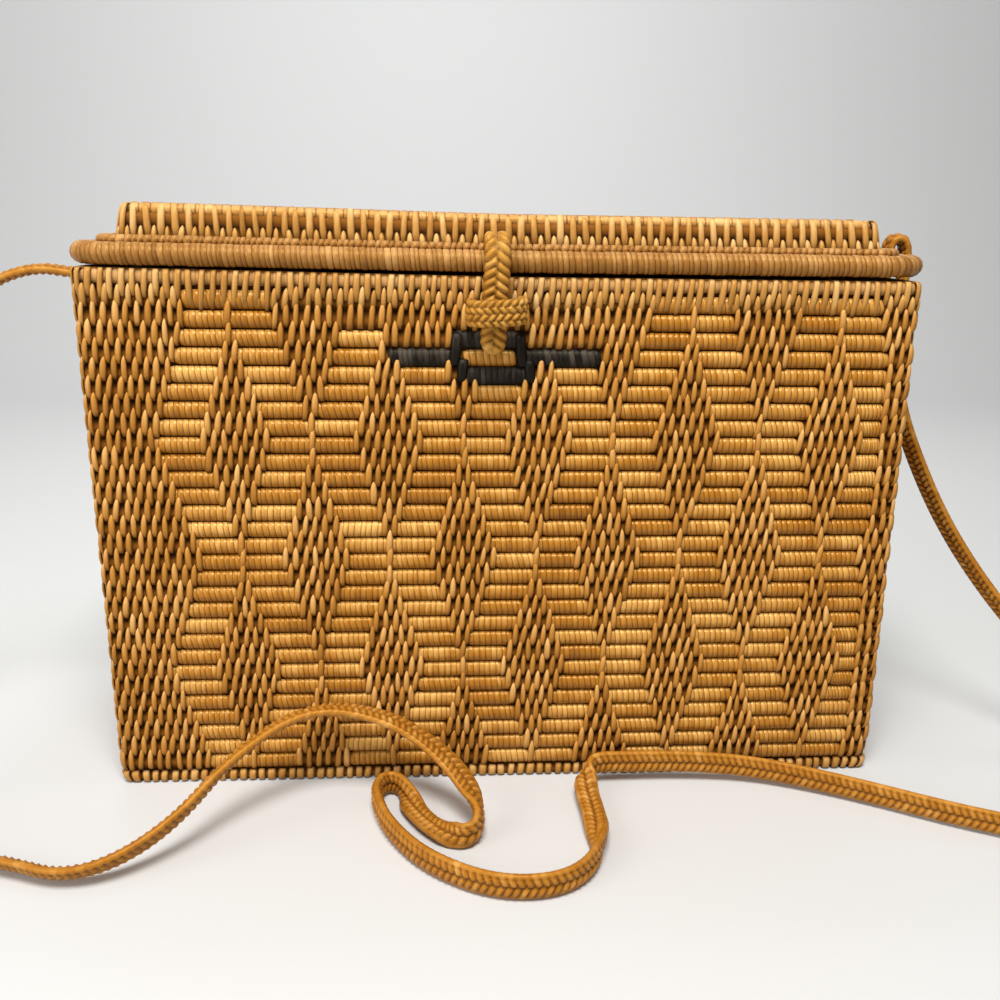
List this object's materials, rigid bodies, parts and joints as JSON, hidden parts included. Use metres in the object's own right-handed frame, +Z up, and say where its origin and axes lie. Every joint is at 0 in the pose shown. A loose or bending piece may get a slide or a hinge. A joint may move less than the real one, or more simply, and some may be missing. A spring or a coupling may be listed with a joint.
{
  "type": "woven box bag",
  "caption": "Coil-woven straight-sided box bag with a hinged lid, a tongue-and-ring closure and a long braided shoulder strap.",
  "frame": {"origin": "middle of the flat underside of the box, on the surface that it stands on", "axes": "+X along the box's width, to the right as seen from the front; -Y out of the front with the closure; +Z up"},
  "size_m": [0.4215, 0.1644, 0.1876],
  "materials": {
    "woven_cane": "smoked golden-brown cane, low gloss",
    "dyed_cane": "black-dyed cane, worn",
    "braid": "flat plait of cane strips, orange-tan"
  },
  "bodies": {
    "box": {"basket_body": "woven_cane", "dark_motif": "dyed_cane", "closure_ring": "braid", "hinge_loop_left": "braid", "hinge_loop_right": "braid", "strap_knot_left": "braid", "strap_knot_right": "braid", "shoulder_strap": "braid"},
    "lid": {"lid_panel": "woven_cane", "lid_rim": "woven_cane", "closure_tongue": "braid"}
  },
  "joints": [
    {"name": "lid_hinge", "type": "hinge", "parent": "box", "child": "lid", "pos_m": [0, 0.04125, 0.17215], "axis": [-1, 0, 0], "range_deg": [0, 110]}
  ]
}
